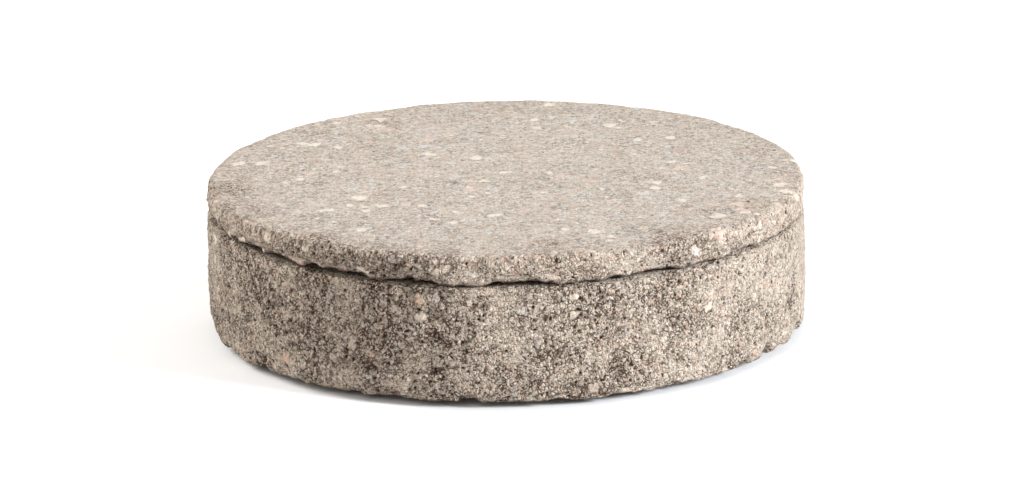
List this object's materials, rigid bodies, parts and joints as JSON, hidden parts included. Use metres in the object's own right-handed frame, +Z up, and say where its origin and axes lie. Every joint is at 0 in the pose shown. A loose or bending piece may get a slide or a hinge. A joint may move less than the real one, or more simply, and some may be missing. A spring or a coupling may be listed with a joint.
{
  "type": "garden candle holder with lid",
  "caption": "Low round cast-concrete candle bowl with a loose plug-fit lid; the lid lifts off to reach a tin refill candle with a thick wick.",
  "frame": {"origin": "centre of the footprint on the ground, at the underside of the foot pads", "axes": "+Z up, along the axis of the bowl and the way the lid and the candle lift out; the object is round, so +X and +Y are only set by the foot pads, which lie on the diagonals"},
  "size_m": [0.23, 0.23, 0.06],
  "materials": {
    "bowl_concrete": "matte",
    "lid_concrete": "matte",
    "tinplate": "satin",
    "wax": "satin",
    "wick_fibre": "matte",
    "clip_tinplate": "satin",
    "pad_rubber": "matte"
  },
  "bodies": {
    "bowl": {"bowl": "bowl_concrete", "foot_pad_1": "pad_rubber", "foot_pad_2": "pad_rubber", "foot_pad_3": "pad_rubber", "foot_pad_4": "pad_rubber"},
    "candle": {"candle_cup": "tinplate", "wax": "wax", "wick": "wick_fibre", "wick_clip": "clip_tinplate"},
    "lid": {"lid": "lid_concrete"}
  },
  "joints": [
    {"name": "candle_lift", "type": "slide", "parent": "bowl", "child": "candle", "axis": [0, 0, 1], "range_m": [0, 0.06]},
    {"name": "lid_lift", "type": "slide", "parent": "candle", "child": "lid", "axis": [0, 0, 1], "range_m": [0, 0.09]}
  ]
}
